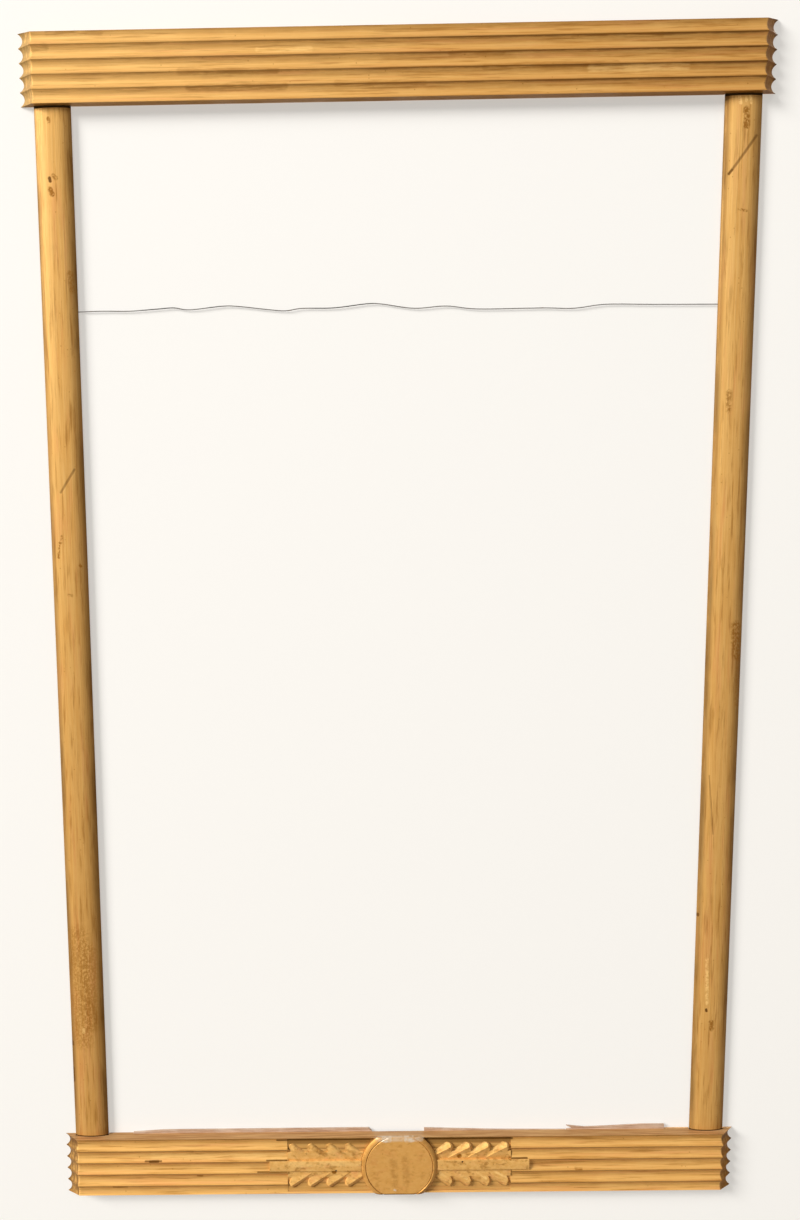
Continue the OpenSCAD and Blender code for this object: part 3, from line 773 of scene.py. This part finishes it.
def round_front(obj, front, offset, segments):
    """Rounds the long edges of a bar's front face."""
    bpy.ops.object.mode_set(mode="EDIT")
    bpy.ops.mesh.select_mode(type="EDGE")
    bpy.ops.mesh.select_all(action="DESELECT")
    mesh = bmesh.from_edit_mesh(obj.data)
    for edge in mesh.edges:
        a, b = edge.verts[0].co, edge.verts[1].co
        edge.select_set(max(a.y, b.y) < front + 0.1 * MM and abs(a.x - b.x) > 10 * MM)
    mesh.select_flush_mode()
    bmesh.update_edit_mesh(obj.data)
    bpy.ops.mesh.bevel(offset=offset, segments=segments)
    bpy.ops.object.mode_set(mode="OBJECT")


def cut_plane(obj, point, normal):
    """Cuts away what lies on the normal's side of a plane, and closes the cut."""
    only(obj)
    bpy.ops.object.mode_set(mode="EDIT")
    bpy.ops.mesh.select_all(action="SELECT")
    bpy.ops.mesh.bisect(plane_co=point, plane_no=normal, use_fill=True, clear_outer=True,
                        threshold=1e-6)
    bpy.ops.object.mode_set(mode="OBJECT")


def join_solid(obj, other, operation):
    """Unites obj with another solid, or cuts that solid out of it."""
    only(obj)
    step = obj.modifiers.new("join", "BOOLEAN")
    step.operation = operation
    step.object = other
    step.solver = "EXACT"
    bpy.ops.object.modifier_apply(modifier=step.name)
    bpy.data.objects.remove(other)


def finish_node(name, material):
    """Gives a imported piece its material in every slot."""
    mesh = nodes[name].data
    mesh.materials.clear()
    mesh.materials.append(material)


def as_piece(obj, name, slot, *replaced):
    """Names a finished piece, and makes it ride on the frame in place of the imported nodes."""
    obj.name = name
    obj.data.name = name
    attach(obj, "root")
    if replaced:
        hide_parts(*replaced)
    return obj


def settings():
    return bpy.context.scene.display_frame


# Operators

class DISPLAYFRAME_OT_stage(bpy.types.Operator):
    """Camera, soft lights, pale wall and floor"""
    bl_idname = "displayframe.stage"
    bl_label = "Stage"

    def execute(self, context):
        given = settings().stage
        context.scene.view_settings.view_transform = "Standard"
        self.camera(context, given)
        self.world(context, given)
        self.lights(given)
        self.backdrop(given)
        return {"FINISHED"}

    def camera(self, context, given):
        lens = bpy.data.cameras.new("camera")
        lens.lens = given.lens
        lens.sensor_width = 36
        lens.shift_x = given.shift
        lens.clip_start = 0.01
        eye = bpy.data.objects.new("camera", lens)
        context.scene.collection.objects.link(eye)
        upright = Matrix.Rotation(math.radians(90), 4, "X")
        aim = (Matrix.Rotation(given.turn, 4, "Z") @ Matrix.Rotation(given.tilt, 4, "X")
               @ Matrix.Rotation(given.roll, 4, "Y") @ upright)
        eye.matrix_world = Matrix.Translation(given.eye) @ aim
        context.scene.camera = eye

    def world(self, context, given):
        world = bpy.data.worlds.new("studio")
        context.scene.world = world
        world.use_nodes = True
        tree = world.node_tree
        tree.nodes.clear()
        path = add_node(tree, "ShaderNodeLightPath")
        seen = seen_ray(path)
        soft = add_node(tree, "ShaderNodeBackground", {"Color": (1, 0.985, 0.96, 1),
                                                       "Strength": given.ambient})
        white = add_node(tree, "ShaderNodeBackground", {"Color": (1, 1, 1, 1), "Strength": 1.0})
        both = self.mix_shader(seen, soft, white)
        fed_node("ShaderNodeOutputWorld", {"Surface": both.outputs[0]})

    def lights(self, given):
        """A wide window far to the left, a soft lamp in front, and one behind the wall."""
        self.light("window", given.window, size=6.4, azimuth=-62, elevation=25, distance=20.0,
                   colour=(1, 0.985, 0.96), height=-0.6)
        self.light("lamp", given.lamp, size=0.5, azimuth=-20, elevation=35, distance=3.0,
                   colour=(1, 0.97, 0.93), height=-0.4)
        self.light("rear", given.rear, size=1.4, azimuth=150, elevation=30, distance=3.0,
                   colour=(1, 1, 1), height=-0.7)

    def light(self, name, power, size, azimuth, elevation, distance, colour, height):
        """An area light aimed at the frame's middle line at that height."""
        lamp = bpy.data.lights.new(name, "AREA")
        lamp.shape = "SQUARE"
        lamp.size = size
        lamp.energy = power
        lamp.color = colour
        obj = bpy.data.objects.new(name, lamp)
        bpy.context.scene.collection.objects.link(obj)
        a, e = math.radians(azimuth), math.radians(elevation)
        back = Vector((math.sin(a) * math.cos(e), -math.cos(a) * math.cos(e), math.sin(e)))
        obj.location = Vector((0, 0, height)) + back * distance
        obj.rotation_mode = "QUATERNION"
        obj.rotation_quaternion = (-back).to_track_quat("-Z", "Y")

    def backdrop(self, given):
        """The wall stands just behind the frame and the floor lies well below it.
        Both show from their front only, so that the frame's back can be seen too."""
        plain = self.backdrop_material(given)
        floor_z = bottom_low.z - FLOOR_DROP
        for name, place, turn, deep in (
                ("wall", (0, WALL_Y, floor_z + WALL_H / 2), math.radians(90), WALL_H),
                ("floor", (0, WALL_Y - FLOOR_DEPTH / 2, floor_z), 0, FLOOR_DEPTH)):
            sheet = solid("plane", place, (BACKDROP_W, deep, 1), (turn, 0, 0))
            sheet.name = name
            sheet.data.materials.append(plain)

    def backdrop_material(self, given):
        material = new_material("pale_backdrop")[0]
        tree = material.node_tree
        tree.nodes.clear()
        clear = add_node(tree, "ShaderNodeBsdfTransparent")
        path = add_node(tree, "ShaderNodeLightPath")
        seen = seen_ray(path)
        matt = fed_node("ShaderNodeBsdfDiffuse",
                        {"Color": mix_colour(seen, given.bounce, given.wall)})
        pale = add_node(tree, "ShaderNodeEmission", {"Color": given.wall, "Strength": 1.0})
        paint = self.mix_shader(times(seen, given.glow), matt, pale)
        behind = add_node(tree, "ShaderNodeNewGeometry").outputs["Backfacing"]
        close = math_node("LESS_THAN", path.outputs["Ray Length"], REAR_REACH)
        unseen = math_node("SUBTRACT", 1.0, path.outputs["Is Camera Ray"])
        gone = math_node("MAXIMUM", behind, times(close, unseen))
        both = self.mix_shader(gone, paint, clear)
        fed_node("ShaderNodeOutputMaterial", {"Surface": both.outputs[0]})
        return material

    def mix_shader(self, share, a, b):
        return fed_node("ShaderNodeMixShader", {0: share, 1: a.outputs[0], 2: b.outputs[0]})


class DISPLAYFRAME_OT_hanging_wire(bpy.types.Operator):
    """Thin wire strung behind the posts, with its small kinks"""
    bl_idname = "displayframe.hanging_wire"
    bl_label = "Hanging wire"

    def execute(self, context):
        sizes = settings().wire
        steel = settings().steel
        places = [Vector((x * MM, -sizes.off_wall, z * MM - sizes.drop)) for x, z in WIRE_ROUTE]
        line = bpy.data.curves.new("picture_wire", "CURVE")
        line.dimensions = "3D"
        line.bevel_depth = sizes.diameter / 2
        line.bevel_resolution = 5
        line.resolution_u = 8
        line.use_fill_caps = True
        spline = line.splines.new("BEZIER")
        spline.bezier_points.add(len(places) - 1)
        for i, (point, place) in enumerate(zip(spline.bezier_points, places)):
            before, after = places[max(0, i - 1)], places[min(len(places) - 1, i + 1)]
            point.co = place
            point.handle_left = place - (after - before) / 6
            point.handle_right = place + (after - before) / 6
        wire = bpy.data.objects.new("picture_wire", line)
        context.scene.collection.objects.link(wire)
        line.materials.append(steel_material(steel, "wire_steel", steel.wire, 0.05,
                                             WIRE_DARK_RUNS))
        as_piece(wire, "picture_wire", "wire_steel", "hanging_wire")
        return {"FINISHED"}

    def measure(self, places):
        return sum((b - a).length for a, b in zip(places, places[1:]))


class DISPLAYFRAME_OT_rails(bpy.types.Operator):
    """Aged gilt on the header rail and the bottom rail"""
    bl_idname = "displayframe.rails"
    bl_label = "Rails"

    def execute(self, context):
        gilt = settings().gilt
        finish_node("header_rail", rail_material(
            gilt, "header_gilt", header_low, header_high, grime_and_shade_left=0.35, grime_and_shade_right=0.8,
            falloff_shade=0.36, marks=HEADER_MARKS, details=header_details))
        finish_node("bottom_rail", rail_material(
            gilt, "bottom_gilt", bottom_low, bottom_high, grime_and_shade_left=0.5, grime_and_shade_right=0.5,
            falloff_shade=0.08, marks=BOTTOM_MARKS, details=bottom_details))
        return {"FINISHED"}


class DISPLAYFRAME_OT_posts(bpy.types.Operator):
    """Aged gilt on both posts, each with its own scratches and stains"""
    bl_idname = "displayframe.posts"
    bl_label = "Posts"

    def execute(self, context):
        for name, middle_x, foot_brown, marks in (
                ("left_post", LEFT_POST_X, 0.33, LEFT_POST_MARKS),
                ("right_post", RIGHT_POST_X, 0.25, RIGHT_POST_MARKS)):
            finish_node(name, post_material(settings().gilt, name + "_gilt", middle_x,
                                            foot_brown, marks))
        return {"FINISHED"}


class DISPLAYFRAME_OT_sprays(bpy.types.Operator):
    """Carved leaf sprays on both sides of the medallion"""
    bl_idname = "displayframe.sprays"
    bl_label = "Leaf sprays"

    def execute(self, context):
        shape = settings().spray
        gilt = settings().gilt
        carved = carved_material(gilt, "spray_gilt", -13.9 * MM, -15.9 * MM, None, SPRAY_MARKS)
        sound, worn = (shape.face, shape.swell), (shape.worn_face, shape.worn_swell)
        for node, side, upper in (("right_spray", 1, sound), ("left_spray", -1, worn)):
            low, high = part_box(node)
            bar = self.bar(shape, side, low, high)
            for vertical, (ridge, swell) in ((1, upper), (-1, sound)):
                for i in range(shape.count):
                    join_solid(bar, self.leaf(shape, side, vertical, i, ridge, swell), "UNION")
            self.trim(bar, shape)
            self.bore(bar, node + "_brad")
            only(bar)
            bpy.ops.object.shade_smooth_by_angle(angle=math.radians(32))
            bar.data.materials.clear()
            bar.data.materials.append(carved)
            for face in bar.data.polygons:
                face.material_index = 0
            as_piece(bar, "carved_" + node, "gilt_spray", node)
        return {"FINISHED"}

    def bar(self, shape, side, low, high):
        """The plain bar with its tongue, rounded along its front edges, on the low ground
        that its leaves grow from."""
        inner = side * math.copysign(min(abs(low.x), abs(high.x)), 1)
        outer = side * max(abs(low.x), abs(high.x))
        bottom, top = BOTTOM_MID - BAR_DOWN, BOTTOM_MID + BAR_UP
        back = OVERLAP - SEAT_Y
        middle = Vector(((inner + outer) / 2, (low.y + back) / 2, (bottom + top) / 2))
        size = (abs(outer - inner), back - low.y, top - bottom)
        bar = solid("cube", middle, size)
        round_front(bar, low.y, shape.edge, 3)
        end = side * (SEAT_END - GROUND_ROOM)
        back -= BACK_STEP
        front = -SEAT_Y - shape.root
        root = solid("cube", ((inner + end) / 2, (front + back) / 2, (bottom + top) / 2),
                     (abs(end - inner), back - front, top - bottom + 2 * shape.root_reach))
        round_front(root, front, 0.8 * shape.root, 4)
        join_solid(bar, root, "UNION")
        return bar

    def leaf(self, shape, side, vertical, i, ridge, swell):
        """One leaf: a long egg that leans away from the medallion, its front cut to a ridge
        that rises outwards, with a steep side away from the bar."""
        leaf = solid("uv_sphere", Vector(), (shape.leaf, 2 * swell, shape.width),
                     segments=40, ring_count=20)
        for angle, way in ((shape.steep, vertical), (shape.gentle, -vertical)):
            cut_plane(leaf, (0, -ridge, 0), (-LEAF_RISE * side, -1, way * math.tan(angle)))
        rise = shape.upper if vertical > 0 else shape.lower
        leaf.rotation_euler.y = -side * vertical * shape.lean
        leaf.location = (side * (shape.first + i * shape.pitch), LEAF_SINK - SEAT_Y,
                         BOTTOM_MID + LEAF_LINE + vertical * rise)
        bpy.ops.object.transform_apply(location=True, rotation=True, scale=True)
        cut_plane(leaf, (side * (SEAT_END - LEAF_ROOM), 0, 0), (side, 0, 0))
        return leaf

    def trim(self, bar, shape):
        """Leaves room for the medallion, and cuts the back flat where it lies on the seat."""
        middle = Vector((0, -SEAT_Y, BOTTOM_MID))
        across = medallion_high.x - medallion_low.x + 2 * shape.gap
        round_cut = solid("cylinder", middle, (across, across, ROUND_CUT), vertices=96,
                          rotation=(math.radians(90), 0, 0))
        join_solid(bar, round_cut, "DIFFERENCE")
        cut_plane(bar, (0, -SEAT_Y, 0), (0, 1, 0))

    def bore(self, bar, brad):
        """The bore of a sunk brad, and the open hole in front of its head."""
        low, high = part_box(brad)
        x, z = (low.x + high.x) / 2, (low.z + high.z) / 2
        for width, front, back in ((high.x - low.x, low.y - HEAD_CUT, low.y + BRAD_HEAD_T),
                                   (BRAD_D, low.y, high.y)):
            wide = width + BRAD_ROOM
            pin = solid("cylinder", (x, (front + back) / 2, z), (wide, wide, back - front),
                        vertices=32, rotation=(math.radians(90), 0, 0))
            join_solid(bar, pin, "DIFFERENCE")


class DISPLAYFRAME_OT_medallion(bpy.types.Operator):
    """Aged gilt on the medallion"""
    bl_idname = "displayframe.medallion"
    bl_label = "Medallion"

    def execute(self, context):
        gilt = settings().gilt
        finish_node("medallion", carved_material(gilt, "medallion_gilt", -15.6 * MM,
                                                 -16.8 * MM, gilt.ochre, MEDALLION_MARKS,
                                                 medallion_details))
        return {"FINISHED"}


class DISPLAYFRAME_OT_back_lips(bpy.types.Operator):
    """Broken remnants of the back lip, and the medallion's peg"""
    bl_idname = "displayframe.back_lips"
    bl_label = "Back lips"

    def execute(self, context):
        wood = wood_material(settings().wood, "broken_wood")
        for name in ("left_back_lip", "right_back_lip", "back_lip_sliver", "medallion_peg"):
            finish_node(name, wood)
        return {"FINISHED"}


class DISPLAYFRAME_OT_fasteners(bpy.types.Operator):
    """Old steel on the nails, brads and staples"""
    bl_idname = "displayframe.fasteners"
    bl_label = "Fasteners"

    def execute(self, context):
        steel = settings().steel
        nail = steel_material(steel, "nail_steel", steel.nail, 0.12)
        for name in nodes:
            if name.endswith(("brad", "brads", "nails", "staple")):
                finish_node(name, nail)
        return {"FINISHED"}


class DISPLAYFRAME_PT_panel(bpy.types.Panel):
    """The pieces of the frame in the sidebar"""
    bl_idname = "DISPLAYFRAME_PT_panel"
    bl_label = "Display Frame"
    bl_space_type = "VIEW_3D"
    bl_region_type = "UI"
    bl_category = "Display Frame"

    def draw(self, context):
        for operator in OPERATORS:
            self.layout.operator(operator.bl_idname)


SETTINGS = (GiltFinish, WoodFinish, MetalFinish, SprayShape, WireSizes, StageSettings,
            DisplayFrameSettings)
OPERATORS = (
    DISPLAYFRAME_OT_stage, DISPLAYFRAME_OT_hanging_wire, DISPLAYFRAME_OT_rails,
    DISPLAYFRAME_OT_posts, DISPLAYFRAME_OT_medallion, DISPLAYFRAME_OT_sprays,
    DISPLAYFRAME_OT_back_lips, DISPLAYFRAME_OT_fasteners,
)


def register():
    for item in (*SETTINGS, *OPERATORS, DISPLAYFRAME_PT_panel):
        bpy.utils.register_class(item)
    bpy.types.Scene.display_frame = PointerProperty(type=DisplayFrameSettings)


def unregister():
    del bpy.types.Scene.display_frame
    for item in reversed((*SETTINGS, *OPERATORS, DISPLAYFRAME_PT_panel)):
        bpy.utils.unregister_class(item)


def main():
    register()
    bpy.ops.displayframe.stage()
    bpy.ops.displayframe.hanging_wire()
    bpy.ops.displayframe.rails()
    bpy.ops.displayframe.posts()
    bpy.ops.displayframe.medallion()
    bpy.ops.displayframe.sprays()
    bpy.ops.displayframe.back_lips()
    bpy.ops.displayframe.fasteners()


if __name__ == "__main__":
    main()
